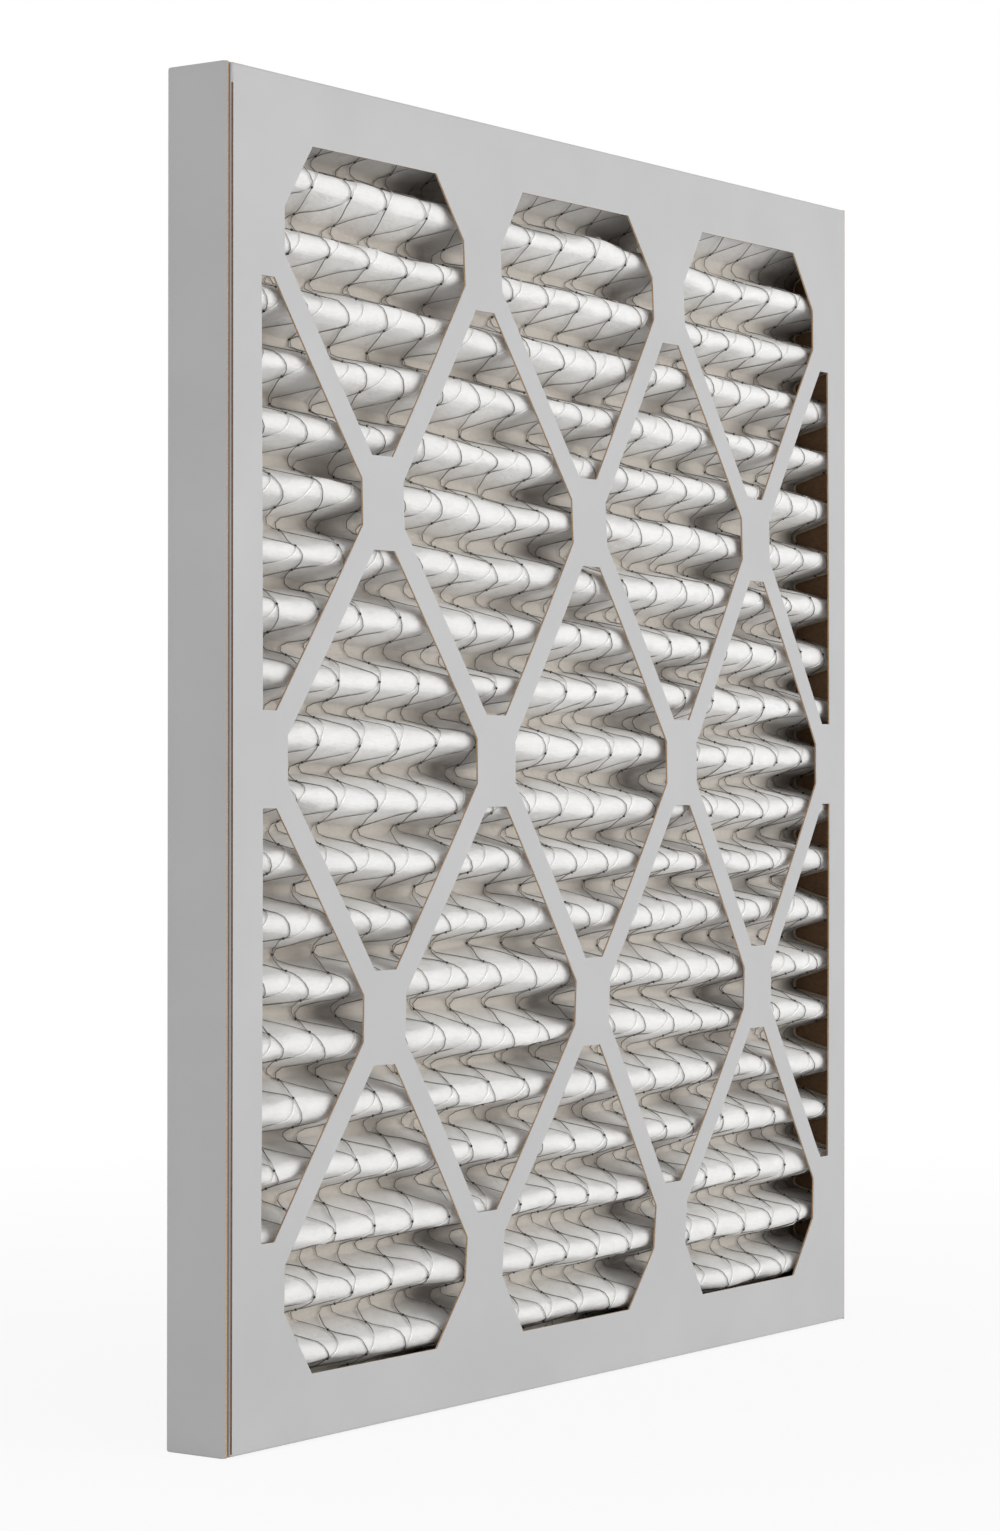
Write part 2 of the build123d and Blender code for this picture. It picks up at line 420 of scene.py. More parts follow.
def block(tree, size, counts=(2, 2, 2)):
    """A box of the given size, centred, cut into a grid so that it can bend."""
    return add(tree, "GeometryNodeMeshCube", {
        "Size": size, "Vertices X": counts[0], "Vertices Y": counts[1], "Vertices Z": counts[2]}).outputs[0]


def painted(tree, geometry, material, selection=True):
    return add(tree, "GeometryNodeSetMaterial",
               {"Geometry": geometry, "Material": material, "Selection": selection}).outputs[0]


def stored(tree, geometry, name, value):
    """Leave a number on each point, for a finish to read."""
    return add(tree, "GeometryNodeStoreNamedAttribute", {
        "Geometry": geometry, "Name": name, "Value": value}, data_type="FLOAT", domain="POINT").outputs[0]


def merged(tree, *parts):
    joint = add(tree, "GeometryNodeJoinGeometry")
    for part in parts:
        tree.links.new(part, joint.inputs[0])
    return joint.outputs[0]


def punches(tree, one):
    """The die, thickened and set out on the staggered rows, and cut off at the borders."""
    solid = add(tree, "GeometryNodeExtrudeMesh", {
        "Mesh": one, "Offset Scale": 2 * PUNCH_REACH, "Individual": False})
    under = add(tree, "GeometryNodeFlipFaces", {"Mesh": one}).outputs[0]
    punch = add(tree, "GeometryNodeMergeByDistance",
                {"Geometry": merged(tree, solid.outputs[0], under), "Distance": 0.001 * MM}).outputs[0]
    full_rows = add(tree, "GeometryNodeMeshGrid", {
        "Size X": 2 * COLUMN_PITCH, "Size Y": 4 * ROW_PITCH, "Vertices X": 3, "Vertices Y": 3}).outputs[0]
    shifted_rows = add(tree, "GeometryNodeMeshGrid", {
        "Size X": 3 * COLUMN_PITCH, "Size Y": 2 * ROW_PITCH, "Vertices X": 4, "Vertices Y": 2}).outputs[0]
    spots = add(tree, "GeometryNodeMeshToPoints", {"Mesh": merged(tree, full_rows, shifted_rows)}).outputs[0]
    lowered = add(tree, "GeometryNodeSetPosition", {
        "Geometry": spots, "Offset": (0, 0, -PUNCH_REACH)}).outputs[0]
    set_out = add(tree, "GeometryNodeInstanceOnPoints", {"Points": lowered, "Instance": punch}).outputs[0]
    real = add(tree, "GeometryNodeRealizeInstances", {"Geometry": set_out}).outputs[0]
    window = block(tree, (WIDTH - 2 * SIDE_BORDER, HEIGHT - 2 * END_BORDER, 4 * BOARD))
    clip = add(tree, "GeometryNodeMeshBoolean", operation="INTERSECT", solver="EXACT")
    tree.links.new(real, clip.inputs[1])
    tree.links.new(window, clip.inputs[1])
    return painted(tree, clip.outputs[0], CUT_EDGE)


print("each opening %.1f x %.1f mm" % (2 * OPENING_HALF_WIDTH / MM, 2 * OPENING_HALF_HEIGHT / MM))


# %% [markdown]
# ## The lattice
# The face of a tray is flat board with the punches taken out, and the cut shows the kraft core. The
# holes could be left out of the mesh by hand, but then each change of size is drawn again. A slab
# cut into small squares is punched flat and bowed afterwards, which gives the edges of a die.

# %% The punched lattice as nodes
SLAB_COLUMNS = 68
SLAB_ROWS = 78


def lattice_tree():
    """The punched slab, stood up and bowed. Coat Side is -1 for the front tray, 1 for the rear."""
    tree, given = tree_for("punched_lattice", **{
        "Width": "Float", "Height": "Float", "Face": "Float", "Coat Side": "Float"})
    size = joined(tree, given["Width"], given["Height"], BOARD)
    slab = block(tree, size, (SLAB_COLUMNS + 1, SLAB_ROWS + 1, 2))
    facing = split(tree, add(tree, "GeometryNodeInputNormal").outputs[0])[2]
    outer = sum_of(tree, "GREATER_THAN", sum_of(tree, "MULTIPLY", facing, given["Coat Side"]), 0.5)
    level = sum_of(tree, "LESS_THAN", sum_of(tree, "ABSOLUTE", facing), 0.5)
    open_edge = add(tree, "GeometryNodeDeleteGeometry", {
        "Geometry": painted(tree, painted(tree, slab, KRAFT), BOARD_FACE, outer), "Selection": level},
        domain="FACE")
    punched = add(tree, "GeometryNodeMeshBoolean", operation="DIFFERENCE", solver="EXACT")
    tree.links.new(open_edge.outputs[0], punched.inputs[0])
    tree.links.new(punches(tree, given["Geometry"]), punched.inputs[1])
    x, flat_z, through = split(tree, add(tree, "GeometryNodeInputPosition").outputs[0])
    z = sum_of(tree, "ADD", flat_z, HEIGHT / 2)
    y = sum_of(tree, "SUBTRACT", sum_of(tree, "ADD", through, given["Face"]), bow_at(tree, x, z))
    stood = add(tree, "GeometryNodeSetPosition",
                {"Geometry": punched.outputs[0], "Position": joined(tree, x, y, z)}).outputs[0]
    close_tree(tree, add(tree, "GeometryNodeFlipFaces", {"Mesh": stood}).outputs[0])
    return tree


LATTICE = lattice_tree()
print("lattice tree:", len(LATTICE.nodes), "nodes")


# %% [markdown]
# ## The folds and walls
# Round the slab the same board carries on: over a small fold, down the wall, and back up inside.
# The coat stays outside, raw kraft inside, and the free end of the wall is a bare cut. Thickening
# one surface would be shorter, but the bare end and the split fold need finishes of their own. So
# the walls are loops of points that step round one section, and each band of it gets its finish.

# %% The way round the rim, and the section of fold and wall
def rim_path(width, height):
    """Points round the slab's edge, each with its outward direction, fanned at the corners."""
    half_w, half_h = width / 2 - FOLD_RADIUS, height / 2 - FOLD_RADIUS
    path = []
    sides = (
        ((half_w, -half_h), (0, 1), 2 * half_h, SLAB_ROWS, (1, 0)),
        ((half_w, half_h), (-1, 0), 2 * half_w, SLAB_COLUMNS, (0, 1)),
        ((-half_w, half_h), (0, -1), 2 * half_h, SLAB_ROWS, (-1, 0)),
        ((-half_w, -half_h), (1, 0), 2 * half_w, SLAB_COLUMNS, (0, -1)),
    )
    for (x, z), (run_x, run_z), length, count, (out_x, out_z) in sides:
        for step in range(count + 1):
            along = length * step / count
            path.append((x + run_x * along, z + run_z * along, out_x, out_z))
        for step in (1, 2):
            angle = math.atan2(out_z, out_x) + math.pi / 6 * step
            path.append((x + run_x * length, z + run_z * length, math.cos(angle), math.sin(angle)))
    return path


def fold_section():
    """Reach beyond the slab's edge, depth from the face, and share of the wall's length added."""
    outside = []
    for step in range(5):
        angle = math.pi / 2 * step / 4
        outside.append((FOLD_RADIUS * math.sin(angle), FOLD_RADIUS * (1 - math.cos(angle)), 0.0))
    outside += [(FOLD_RADIUS, 0.0, share) for share in (0.25, 0.5, 0.75, 1.0)]
    inner = FOLD_RADIUS - BOARD
    inside = [(inner, 0.0, share) for share in (1.0, 0.5)]
    inside += [(inner, FOLD_RADIUS, 0.0), (inner * 0.7, BOARD + inner * 0.3, 0.0), (0.0, BOARD, 0.0)]
    return outside, inside


print("section of %d points" % sum(len(part) for part in fold_section()))


# %% [markdown]
# ## The two trays
# The front tray nests into the rear one, and glue tabs stand flat in the corners of both. Along the
# side folds of the front tray the score has split the coat. The trays could be two models, but they
# differ only in size and in the way they face, so one function makes both. The loops have as many
# points as the edge of the slab, so the two join into one sheet.

# %% Tray, split folds and glue tabs
HAIR = 0.01 * MM
SHARP_FROM = math.radians(40)
SPLIT_DEPTH = 0.25 * MM
SPLIT_STOP = 2.5 * MM
FACES_SIDEWAYS = 0.7


def tray(name, width, height, face, turn, side_wall, end_wall, tabs):
    """A whole tray: punched lattice, folds, walls and glue tabs. turn is 1 where walls run to +Y."""
    values = {"Width": width - 2 * FOLD_RADIUS, "Height": height - 2 * FOLD_RADIUS,
              "Face": face + turn * BOARD / 2, "Coat Side": -turn}
    corners = die()
    piece = grow(name, corners, [], [list(range(len(corners)))], LATTICE, values)
    piece.data.materials.append(SPLIT_FOLD_AND_SHADE)
    slots = {material: index for index, material in enumerate(piece.data.materials)}
    mesh = bmesh.new()
    mesh.from_mesh(piece.data)
    outside, inside = fold_section()
    section = outside + inside
    path = rim_path(width, height)
    rings = []
    for reach, near, share in section:
        ring = []
        for x, z, out_x, out_z in path:
            depth = near + share * (side_wall if abs(out_x) > FACES_SIDEWAYS else end_wall)
            split_here = turn > 0 and reach == section[2][0] and is_split(out_x, z, height)
            out = reach - (SPLIT_DEPTH if split_here else 0.0)
            up = HEIGHT / 2 + z
            y = face + turn * depth - bow_value(x, up)
            ring.append(mesh.verts.new((x + out_x * out, y, up + out_z * out)))
        rings.append(ring)
    for row in range(len(rings) - 1):
        past_free_end = row - (len(outside) - 1)
        layer = BOARD_FACE if past_free_end < 0 else (KRAFT if past_free_end > 0 else CUT_EDGE)
        for index, (_, z, out_x, _) in enumerate(path):
            after = (index + 1) % len(path)
            split_here = turn > 0 and row in (1, 2) and is_split(out_x, z, height)
            material = SPLIT_FOLD_AND_SHADE if split_here else layer
            corners = [rings[row][index], rings[row][after], rings[row + 1][after], rings[row + 1][index]]
            if turn < 0:
                corners.reverse()
            new_face = mesh.faces.new(corners)
            new_face.material_index = slots[material]
            new_face.smooth = True
    bmesh.ops.remove_doubles(mesh, verts=mesh.verts, dist=HAIR)
    add_tabs(mesh, slots[KRAFT], width / 2 - BOARD, height / 2 - BOARD, tabs)
    mesh.to_mesh(piece.data)
    mesh.free()
    piece.data.set_sharp_from_angle(angle=SHARP_FROM)
    return piece


def is_split(out_x, z, height):
    """The side folds are scored through the coat, and stop a little short of the corners."""
    return abs(out_x) > 0.99 and abs(z) < height / 2 - SPLIT_STOP


def add_tabs(mesh, slot, half_w, half_h, y_range):
    """Four glue tabs, folded round from the end walls and flat against the side walls."""
    for side in (-1, 1):
        for end in (-1, 1):
            x = side * (half_w - BOARD / 2 - HAIR)
            z = HEIGHT / 2 + end * (half_h - CORNER_TAB / 2)
            y = sum(y_range) / 2
            deep = y_range[1] - y_range[0]
            made = bmesh.ops.create_cube(mesh, size=1)["verts"]
            for vert in made:
                vert.co = Vector((x + vert.co.x * BOARD, y + vert.co.y * deep, z + vert.co.z * CORNER_TAB))
            for tab_face in {f for vert in made for f in vert.link_faces}:
                tab_face.material_index = slot


TAB_END = FRONT + DEPTH - 2 * BOARD
front_card = tray("front_card", FRONT_WIDTH, FRONT_HEIGHT, FRONT, 1, DEPTH - 2 * BOARD, DEPTH - 2 * BOARD,
                  (FRONT + 2 * BOARD, TAB_END))
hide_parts("front_tray")
rear_card = tray("rear_card", WIDTH, HEIGHT, FRONT + DEPTH, -1, DEPTH - SIDE_SETBACK, DEPTH - END_SETBACK,
                 (FRONT + END_SETBACK + BOARD, TAB_END))
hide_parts("rear_tray")
for card in (front_card, rear_card):
    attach(card, "root")

# %% [markdown]
# ## The pleat line
# Seen from the side, the media is a row of hairpins: a round tip forward, a straight flank, a
# round tip back. Layers on either face of it run parallel, with tighter or wider tips. A wave
# would be quicker to write, but its flanks bulge. Arcs joined by straight flanks are what a
# pleating machine leaves, and their length is the length of sheet that was folded.

# %% The pleat line, and the same line laid out at even steps
FRONT_TIP = BOARD + FRONT_CLEARANCE + WIRE + MEDIA / 2
REAR_TIP = DEPTH - BOARD - REAR_CLEARANCE - MEDIA / 2
TIP_GAP = REAR_TIP - FRONT_TIP - 2 * TIP_RADIUS
FLANK_TILT = math.atan2(PITCH / 2, TIP_GAP) - math.asin(2 * TIP_RADIUS / math.hypot(PITCH / 2, TIP_GAP))


def tip_arc(y, z, forward, offset, steps):
    """Points round one tip, upwards; offset moves the line towards the front."""
    side = -1 if forward else 1
    radius = TIP_RADIUS - side * offset
    centre = y - side * TIP_RADIUS
    swing = math.pi / 2 - FLANK_TILT
    angles = [swing * (2 * step / steps - 1) for step in range(steps + 1)]
    return [(centre + side * radius * math.cos(angle), z + radius * math.sin(angle)) for angle in angles]


def pleat_line(offset, arc_steps=8, flank_steps=7):
    """The whole line from the bottom wall to the top, as (y, z) from the front rim."""
    points = tip_arc(REAR_TIP, INNER_BOTTOM, False, offset, arc_steps)[-2:]
    for pleat in range(PLEATS):
        for forward, y, share in ((True, FRONT_TIP, 0.5), (False, REAR_TIP, 1.0)):
            arc = tip_arc(y, INNER_BOTTOM + (pleat + share) * PITCH, forward, offset, arc_steps)
            if pleat == PLEATS - 1 and not forward:
                arc = arc[:2]
            (y0, z0), (y1, z1) = points[-1], arc[0]
            for step in range(1, flank_steps):
                share_in = step / flank_steps
                points.append((y0 + (y1 - y0) * share_in, z0 + (z1 - z0) * share_in))
            points += arc
    return points


def evenly(points, step):
    """The same line with points at one spacing along it."""
    out, left = [points[0]], step
    for (y0, z0), (y1, z1) in zip(points, points[1:]):
        run = math.hypot(y1 - y0, z1 - z0)
        at = 0.0
        while run - at >= left:
            at += left
            left = step
            out.append((y0 + (y1 - y0) * at / run, z0 + (z1 - z0) * at / run))
        left -= run - at
    return out


def length_of(points):
    return sum(math.hypot(b[0] - a[0], b[1] - a[1]) for a, b in zip(points, points[1:]))


MEDIA_LENGTH = length_of(pleat_line(0))
print("media cut to %.3f x %.3f m, %.1f mm a pleat" % (
    2 * PACK_HALF_WIDTH, MEDIA_LENGTH, MEDIA_LENGTH / PLEATS / MM))


# %% [markdown]
# ## Carrying a line across the filter
# The media, the wire and the glue all follow the pleat line, lean a little downhill to one side as
# a hand-laid pack does, and bow with the frame. The noise has a seed, and takes its place from the
# flat sheet, so that all three wander together and none cuts through another.

# %% Lean and wander, as nodes
GLUED_TO, FREE_FROM = 3 * MM, 22 * MM
LEAN_LEFT_TOP, LEAN_LEFT_FALL = 0.2 * MM, 3.0 * MM
LEAN_RIGHT_TOP, LEAN_RIGHT_FALL = 9.5 * MM, -4.5 * MM
SLOW_DRIFT, SLOW_SIZE = 6.0 * MM, 60
FINE_DRIFT, FINE_SIZE = 3.4 * MM, 19
DENT, DENT_SIZE, DENT_MEAN, DENT_SEED = 3.4 * MM, 26, 0.4, 5.0
LONGER_ACROSS = 2.5


def eased_at(tree, z):
    """0 at the end walls, where the pack is glued, and 1 from about a pleat inwards."""
    from_wall = sum_of(tree, "MINIMUM", z, sum_of(tree, "SUBTRACT", HEIGHT, z))
    return add(tree, "ShaderNodeMapRange", {
        "Value": from_wall, "From Min": GLUED_TO, "From Max": FREE_FROM},
        interpolation_type="SMOOTHSTEP").outputs[0]


def lean_at(tree, x, z):
    """How far the pleats hang below even, top to bottom: 0.2 to 3.2 mm left, 9.5 to 5 mm right."""
    right = sum_of(tree, "MULTIPLY_ADD", x, 1 / WIDTH, 0.5)
    left = sum_of(tree, "SUBTRACT", 1.0, right)
    down = sum_of(tree, "MULTIPLY_ADD", z, -1 / HEIGHT, 1.0)
    left_end = sum_of(tree, "MULTIPLY_ADD", down, LEAN_LEFT_FALL, LEAN_LEFT_TOP)
    right_end = sum_of(tree, "MULTIPLY_ADD", down, LEAN_RIGHT_FALL, LEAN_RIGHT_TOP)
    at_left = sum_of(tree, "MULTIPLY", left, left_end)
    at_right = sum_of(tree, "MULTIPLY", right, right_end)
    return sum_of(tree, "ADD", at_left, at_right)


def wander(tree, place, size_mm, seed, detail=1.0):
    """Slow noise about nothing, from -0.5 to 0.5, with a seed of its own."""
    noise = add(tree, "ShaderNodeTexNoise", {
        "Vector": place, "W": seed, "Scale": 1 / (size_mm * MM), "Detail": detail},
        noise_dimensions="4D").outputs["Fac"]
    return sum_of(tree, "SUBTRACT", noise, 0.5)


def point_of(tree, line, index):
    """The place of one point of the line that the tree was given."""
    return add(tree, "GeometryNodeSampleIndex", {
        "Geometry": line, "Value": add(tree, "GeometryNodeInputPosition").outputs[0], "Index": index},
        data_type="FLOAT_VECTOR", domain="POINT").outputs[0]


def carried(tree, line, index, x, seed):
    """A point of the pleat line, set out at x, leaned, wandering a little, dented and bowed."""
    _, y, z = split(tree, point_of(tree, line, index))
    place = joined(tree, x, 0.0, sum_of(tree, "MULTIPLY", z, LONGER_ACROSS))
    slow = sum_of(tree, "MULTIPLY", wander(tree, place, SLOW_SIZE, seed), SLOW_DRIFT)
    drift = sum_of(tree, "MULTIPLY_ADD", wander(tree, place, FINE_SIZE, seed), FINE_DRIFT, slow)
    leaned = sum_of(tree, "SUBTRACT", drift, lean_at(tree, x, z))
    moved = sum_of(tree, "MULTIPLY", leaned, eased_at(tree, z))
    hung = sum_of(tree, "ADD", z, moved)
    near_tip = add(tree, "ShaderNodeMapRange", {
        "Value": y, "From Min": FRONT_TIP, "From Max": REAR_TIP, "To Min": 1.0, "To Max": 0.0}).outputs[0]
    dented = wander(tree, place, DENT_SIZE, sum_of(tree, "ADD", seed, DENT_SEED), 2.0)
    dent = sum_of(tree, "MULTIPLY", sum_of(tree, "ADD", dented, DENT_MEAN), DENT)
    y_out = sum_of(tree, "SUBTRACT", sum_of(tree, "ADD", y, FRONT), bow_at(tree, x, hung))
    return joined(tree, x, sum_of(tree, "MULTIPLY_ADD", dent, near_tip, y_out), hung)


def rows_and_columns(tree, rows, columns):
    """A grid whose points run up one column after another, with each point's row and column."""
    grid = add(tree, "GeometryNodeMeshGrid", {
        "Size X": 1.0, "Size Y": 1.0, "Vertices X": columns, "Vertices Y": rows}).outputs[0]
    order = add(tree, "GeometryNodeInputIndex").outputs[0]
    halfway = sum_of(tree, "ADD", order, 0.5)
    column = sum_of(tree, "FLOOR", sum_of(tree, "DIVIDE", halfway, rows))
    return grid, sum_of(tree, "MODULO", order, rows), column


def line_seed(points):
    return [(0, y, z) for y, z in points], [(i, i + 1) for i in range(len(points) - 1)]


print("pleat tools ready")


# %% [markdown]
# ## The media
# One sheet of white nonwoven, cut to its developed length and folded. It is a grid with one row for
# each point of the pleat line, given its thickness on both faces of that line and closed round its
# edges. A cloth simulation would pull the tips off their wire, and this sheet is bonded to it, so
# the fold is laid out and not dropped. The zigzag beads that hold its ends are made the same way,
# only narrow.

# %% Folded sheet tree, media piece
LAY_SEED = 3.0
LUMP_SIZE = 14


def sheet_tree():
    """A grid laid on the pleat line, and a skin on each side of it that knows how deep it lies."""
    tree, given = tree_for("folded_sheet", **{
        "Points": "Int", "Across": "Int", "From": "Float", "To": "Float", "Tab Step": "Float",
        "Thickness": "Float", "Fluff": "Float", "Seed": "Float", "Finish": "Material"})
    grid, row, column = rows_and_columns(tree, given["Points"], given["Across"])
    share = sum_of(tree, "DIVIDE", column, sum_of(tree, "SUBTRACT", given["Across"], 1.0))
    z = split(tree, point_of(tree, given["Geometry"], row))[2]
    from_middle = sum_of(tree, "ABSOLUTE", sum_of(tree, "SUBTRACT", z, HEIGHT / 2))
    over_tab = sum_of(tree, "GREATER_THAN", from_middle, HEIGHT / 2 - 2 * BOARD - CORNER_TAB - MEDIA)
    end = sum_of(tree, "SUBTRACT", given["To"], sum_of(tree, "MULTIPLY", over_tab, given["Tab Step"]))
    span = sum_of(tree, "SUBTRACT", end, given["From"])
    x = sum_of(tree, "MULTIPLY_ADD", share, span, given["From"])
    middle = add(tree, "GeometryNodeSetPosition", {
        "Geometry": grid, "Position": carried(tree, given["Geometry"], row, x, given["Seed"])}).outputs[0]
    outward = add(tree, "GeometryNodeInputNormal").outputs[0]
    place = add(tree, "GeometryNodeInputPosition").outputs[0]
    half = sum_of(tree, "MULTIPLY", given["Thickness"], 0.5)
    # From -1 to 0: the felt is pressed thinner in places, and never stands past its own face.
    pressed = sum_of(tree, "SUBTRACT", wander(tree, place, LUMP_SIZE, given["Seed"], 2.0), 0.5)
    thick = sum_of(tree, "ADD", half, sum_of(tree, "MULTIPLY", pressed, given["Fluff"]))
    line_y = split(tree, point_of(tree, given["Geometry"], row))[1]
    skins = []
    for way, mouth, bottom in (
            (1, FRONT_TIP + TIP_RADIUS, REAR_TIP), (-1, REAR_TIP - TIP_RADIUS, FRONT_TIP)):
        depth = add(tree, "ShaderNodeMapRange", {
            "Value": line_y, "From Min": mouth, "From Max": bottom}).outputs[0]
        push = sum_of(tree, "MULTIPLY", thick, way)
        offset = add(tree, "ShaderNodeVectorMath", {0: outward, "Scale": push}, operation="SCALE").outputs[0]
        skin = add(tree, "GeometryNodeSetPosition", {"Geometry": middle, "Offset": offset}).outputs[0]
        facing_out = skin if way > 0 else add(tree, "GeometryNodeFlipFaces", {"Mesh": skin}).outputs[0]
        skins.append(stored(tree, facing_out, "depth", depth))
    close_tree(tree, painted(tree, merged(tree, *skins), given["Finish"]))
    return tree


def close_edges(piece):
    """Join the two skins of a sheet all round their free edges."""
    mesh = bmesh.new()
    mesh.from_mesh(piece.data)
    made = bmesh.ops.bridge_loops(mesh, edges=[edge for edge in mesh.edges if edge.is_boundary])["faces"]
    bmesh.ops.recalc_face_normals(mesh, faces=mesh.faces)
    mesh.to_mesh(piece.data)
    mesh.free()
    print(piece.name, "closed with", len(made), "faces")


SHEET = sheet_tree()
line = pleat_line(0, 6, 4)
points, edges = line_seed(line)
media = grow("media_sheet", points, edges, [], SHEET, {
    "Points": len(line), "Across": 97, "From": -PACK_HALF_WIDTH, "To": PACK_HALF_WIDTH, "Tab Step": 0.0,
    "Thickness": MEDIA, "Fluff": 0.5 * MM, "Seed": LAY_SEED, "Finish": NONWOVEN})
close_edges(media)
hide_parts("pleated_media")
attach(media, "root")


# %% [markdown]
# ## The expanded wire
# Expanded metal is slit and pulled, so its strands run along the web and touch their neighbours at
# a staggered row of knots. Laid on the pleats, each strand follows the fold line over every tip.
# Between knots a strand is nearly straight, and it bends sharply at the knot, where the metal is
# thickest. A flat net wrapped onto the felt would stretch at the tips, so the strands are drawn on
# the fold line itself.

# %% Wire tree and piece
STRAND_PITCH = 9.05 * MM
STRANDS = 37
ROWS_PER_PLEAT = 2.875
STEPS_PER_ROW = 8
SHARPNESS = 0.93
GAUGE_RADIUS = 0.17 * MM
KNOT_RADIUS = 0.45 * MM
PULL, PULL_SIZE = 3.0 * MM, 20
ROW_LENGTH = MEDIA_LENGTH / PLEATS / ROWS_PER_PLEAT
# Painted highlight: between these depths from the front tip the strands are painted bright.
GLINT_FROM, GLINT_TO = FRONT_TIP + 0.6 * TIP_RADIUS, FRONT_TIP + 1.4 * TIP_RADIUS


def wire_tree():
    """Strands that swing from knot to knot along the pleat line, and a lump at each knot."""
    tree, given = tree_for("expanded_wire", **{
        "Points": "Int", "Strands": "Int", "Strand Pitch": "Float", "Gauge": "Float", "Steps": "Float",
        "Knot": "Float", "Seed": "Float"})
    grid, row, strand = rows_and_columns(tree, given["Points"], given["Strands"])
    turn = sum_of(tree, "ADD", sum_of(tree, "DIVIDE", row, given["Steps"]), strand)
    swing = sum_of(tree, "COSINE", sum_of(tree, "MULTIPLY", turn, math.pi))
    slope = sum_of(tree, "ARCSINE", sum_of(tree, "MULTIPLY", swing, SHARPNESS))
    wave = sum_of(tree, "DIVIDE", slope, math.asin(SHARPNESS))
    reach = sum_of(tree, "SUBTRACT", sum_of(tree, "MULTIPLY", given["Strand Pitch"], 0.5), given["Gauge"])
    first = sum_of(tree, "MULTIPLY", sum_of(tree, "SUBTRACT", given["Strands"], 1.0), -0.5)
    even_x = sum_of(tree, "MULTIPLY", sum_of(tree, "ADD", strand, first), given["Strand Pitch"])
    web_x = sum_of(tree, "MULTIPLY_ADD", wave, reach, even_x)
    web_place = joined(tree, web_x, 0.0, sum_of(tree, "MULTIPLY", row, ROW_LENGTH / STEPS_PER_ROW))
    pulled = sum_of(tree, "MULTIPLY", wander(tree, web_place, PULL_SIZE, given["Seed"]), PULL)
    x = sum_of(tree, "ADD", web_x, pulled)
    laid = add(tree, "GeometryNodeSetPosition", {
        "Geometry": grid, "Position": carried(tree, given["Geometry"], row, x, given["Seed"])}).outputs[0]
    # Painted highlight: only the half of each turn in which a strand steps to the right, near the front tip,
    # is painted bright.
    sideways = sum_of(tree, "SINE", sum_of(tree, "MULTIPLY", turn, math.pi))
    rising = sum_of(tree, "LESS_THAN", sideways, -0.1)
    at_tip = add(tree, "ShaderNodeMapRange", {
        "Value": split(tree, point_of(tree, given["Geometry"], row))[1],
        "From Min": GLINT_FROM, "From Max": GLINT_TO, "To Min": 1.0, "To Max": 0.0}).outputs[0]
    laid = stored(tree, laid, "painted_glint", sum_of(tree, "MULTIPLY", rising, at_tip))
    ends = add(tree, "GeometryNodeInputMeshEdgeVertices").outputs
    apart = sum_of(tree, "ABSOLUTE", sum_of(tree, "SUBTRACT", ends[0], ends[1]))
    along = sum_of(tree, "LESS_THAN", apart, 1.5)
    strands = add(tree, "GeometryNodeMeshToCurve", {"Mesh": laid, "Selection": along}).outputs[0]
    round_wire = add(tree, "GeometryNodeCurvePrimitiveCircle", {
        "Resolution": 4, "Radius": given["Gauge"]}).outputs[0]
    drawn = add(tree, "GeometryNodeCurveToMesh", {"Curve": strands, "Profile Curve": round_wire}).outputs[0]
    # Two strands meet where one has swung fully right, so each knot is made once.
    spots = add(tree, "GeometryNodeMeshToPoints", {
        "Mesh": laid, "Selection": sum_of(tree, "GREATER_THAN", swing, 0.99)}).outputs[0]
    between = add(tree, "GeometryNodeSetPosition", {
        "Geometry": spots, "Offset": joined(tree, given["Gauge"], 0.0, 0.0)}).outputs[0]
    lump = add(tree, "GeometryNodeMeshIcoSphere", {"Radius": given["Knot"], "Subdivisions": 1}).outputs[0]
    knots = add(tree, "GeometryNodeInstanceOnPoints", {"Points": between, "Instance": lump}).outputs[0]
    real_knots = add(tree, "GeometryNodeRealizeInstances", {"Geometry": knots}).outputs[0]
    dark_knots = painted(tree, real_knots, KNOT_PAINTED_SHADE)
    close_tree(tree, merged(tree, painted(tree, drawn, GALVANISED), dark_knots))
    return tree


line = evenly(pleat_line(MEDIA / 2 + WIRE / 2, 12, 2), ROW_LENGTH / STEPS_PER_ROW)
points, edges = line_seed(line)
wire = grow("wire_mesh", points, edges, [], wire_tree(), {
    "Points": len(line), "Strands": STRANDS, "Strand Pitch": STRAND_PITCH, "Gauge": GAUGE_RADIUS,
    "Steps": float(STEPS_PER_ROW), "Knot": KNOT_RADIUS, "Seed": LAY_SEED})
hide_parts("wire_backing")
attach(wire, "root")
print("knot rows %.1f mm apart, %d points a strand" % (ROW_LENGTH / MM, len(line)))

# %% [markdown]
# ## Glue
# A zigzag bead of glue holds each end of every pleat to the side walls, so it follows the folded
# sheet. The tree that folds the sheet makes it too, two points wide. The wedges of glue at the end
# walls are right as they are, and take the finish.

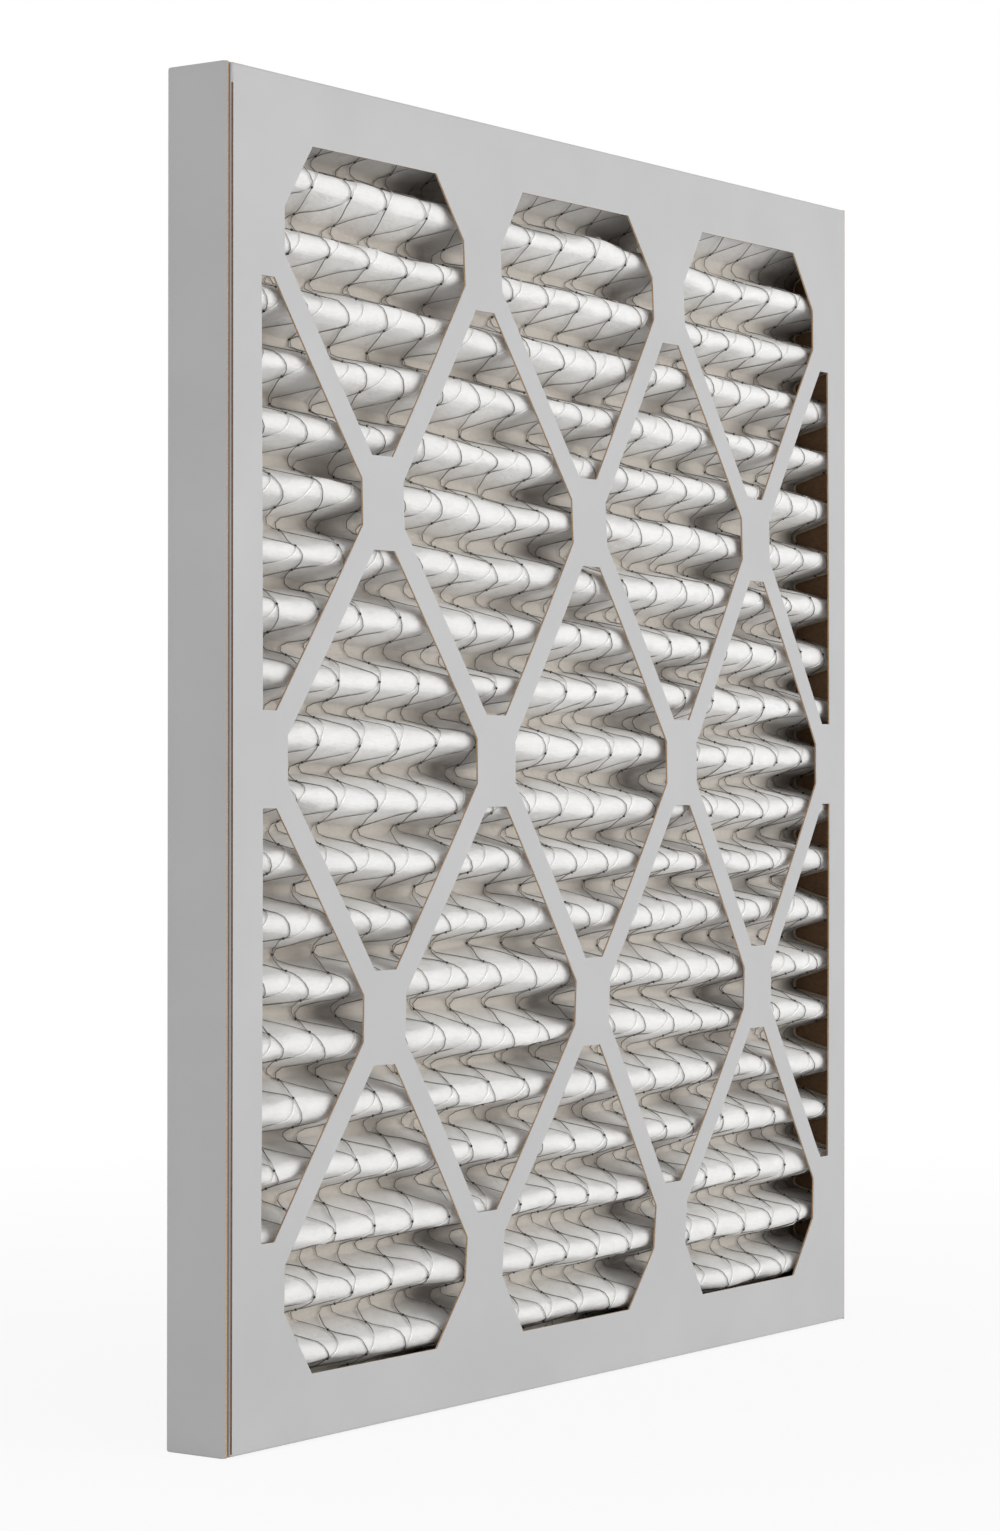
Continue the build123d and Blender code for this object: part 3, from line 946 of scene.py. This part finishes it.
# %% Side beads and glue finish
GLUE_GAP = 0.02 * MM
GLUE_OVER = 0.3 * MM
line = pleat_line(0, 5, 2)
points, edges = line_seed(line)
for name, side in (("left", -1), ("right", 1)):
    bead = grow("glue_" + name, points, edges, [], SHEET, {
        "Points": len(line), "Across": 2, "From": side * (PACK_HALF_WIDTH + GLUE_GAP),
        "To": side * INNER_HALF_WIDTH, "Tab Step": side * (BOARD + GLUE_GAP),
        "Thickness": MEDIA + GLUE_OVER, "Fluff": 0.1 * MM, "Seed": LAY_SEED, "Finish": GLUE})
    close_edges(bead)
    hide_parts("side_bead_" + name)
    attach(bead, "root")
for name in ("end_bead_bottom", "end_bead_top"):
    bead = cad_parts[name]
    bead.data.materials.clear()
    bead.data.materials.append(GLUE)
print("glue finished")

# %% [markdown]
# ## Floor
# The filter stands on a white floor. A floor that only glows would show no shadow, and one that only
# takes light would look grey. This one shows white to the camera, and near the filter it keeps a
# little of its own shading, and so the shadow.

# %% Floor
FLOOR_HALF = 9
NEAR, FAR = 0.1, 0.8
WHITE_SHARE = 0.88


def studio_floor():
    """White all over; near the filter it keeps a share of its own shading, and so the shadow."""
    material, tree, shader, place = finish_start("white_floor")
    shader.inputs["Base Color"].default_value = linear("#f7f7f7")
    shader.inputs["Roughness"].default_value = 0.9
    seen = add(tree, "ShaderNodeLightPath").outputs
    glow = add(tree, "ShaderNodeEmission", {"Color": (1, 1, 1, 1), "Strength": 1.0})
    away = add(tree, "ShaderNodeVectorMath", {0: place}, operation="LENGTH").outputs["Value"]
    white = add(tree, "ShaderNodeMapRange", {
        "Value": away, "From Min": NEAR, "From Max": FAR, "To Min": WHITE_SHARE, "To Max": 1.0}).outputs[0]
    shown = sum_of(tree, "MAXIMUM", seen["Is Camera Ray"], seen["Is Glossy Ray"])
    blend = add(tree, "ShaderNodeMixShader", {
        0: sum_of(tree, "MULTIPLY", shown, white), 1: shader.outputs[0], 2: glow.outputs[0]})
    out = [node for node in tree.nodes if node.bl_idname == "ShaderNodeOutputMaterial"][0]
    tree.links.new(blend.outputs[0], out.inputs["Surface"])
    mesh = bpy.data.meshes.new("floor")
    corners = [(FLOOR_HALF * x, FLOOR_HALF * y, 0) for x, y in ((-1, -1), (1, -1), (1, 1), (-1, 1))]
    mesh.from_pydata(corners, [], [(0, 1, 2, 3)])
    mesh.materials.append(material)
    floor = bpy.data.objects.new("floor", mesh)
    bpy.context.collection.objects.link(floor)
    print("floor %d m wide" % (2 * FLOOR_HALF))


studio_floor()


# %% [markdown]
# ## Light
# A white backdrop gives even light from all round, and two soft panels stand in front and to the
# left. A high lamp would light the ridges and leave the flanks dark, so the panels stand low, on the
# floor, and shine into the pleats.

# %% Backdrop and panels
def backdrop(strength):
    """White to the camera and in reflections, and a light of the given strength to all else."""
    world = bpy.data.worlds.new("studio")
    world.use_nodes = True
    tree = world.node_tree
    tree.nodes.clear()
    seen = add(tree, "ShaderNodeLightPath").outputs
    light = add(tree, "ShaderNodeBackground", {"Color": (1, 1, 1, 1), "Strength": strength})
    white = add(tree, "ShaderNodeBackground", {"Color": (1, 1, 1, 1), "Strength": 1.0})
    shown = sum_of(tree, "MAXIMUM", seen["Is Camera Ray"],
                   sum_of(tree, "MAXIMUM", seen["Is Glossy Ray"], seen["Is Transmission Ray"]))
    blend = add(tree, "ShaderNodeMixShader", {0: shown, 1: light.outputs[0], 2: white.outputs[0]})
    add(tree, "ShaderNodeOutputWorld", {"Surface": blend.outputs[0]})
    bpy.context.scene.world = world


def lamp(name, place, aim, wide, tall, power):
    light = bpy.data.lights.new(name, "AREA")
    light.shape = "RECTANGLE"
    light.size = wide
    light.size_y = tall
    light.energy = power
    lamp_object = bpy.data.objects.new(name, light)
    lamp_object.location = place
    lamp_object.rotation_euler = (Vector(aim) - Vector(place)).to_track_quat("-Z", "Y").to_euler()
    bpy.context.collection.objects.link(lamp_object)
    print(name, "%.2f x %.2f m, %d W" % (wide, tall, power))


backdrop(0.5)
lamp("front_panel", (0.33, -1.92, 0.38), (0, 0, 0.2), 1.7, 0.75, 21)
lamp("side_panel", (-2.6, 0.0, 0.3), (0, 0, 0.1), 1.2, 0.6, 12)


# %% [markdown]
# ## Camera
# The camera stands 1.2 m away, level with the middle of the filter and well round to its left, so
# that the side wall shows whole and the pleats show through the openings. A wide lens close by
# would make the near edge much taller than the far one, so the lens is long.

# %% Camera and colour
camera = bpy.data.cameras.new("camera")
camera.lens = 89.1
camera.sensor_width = 36
camera.clip_start = 0.05
eye = bpy.data.objects.new("camera", camera)
eye.location = (-0.99383, -0.68679, 0.19047)
eye.rotation_euler = (math.radians(90.248), math.radians(-0.0426), math.radians(-54.531))
bpy.context.collection.objects.link(eye)
bpy.context.scene.camera = eye
bpy.context.scene.view_settings.view_transform = "Standard"
print("camera %.2f m from the filter, %.1f mm lens" % (eye.location.length, camera.lens))
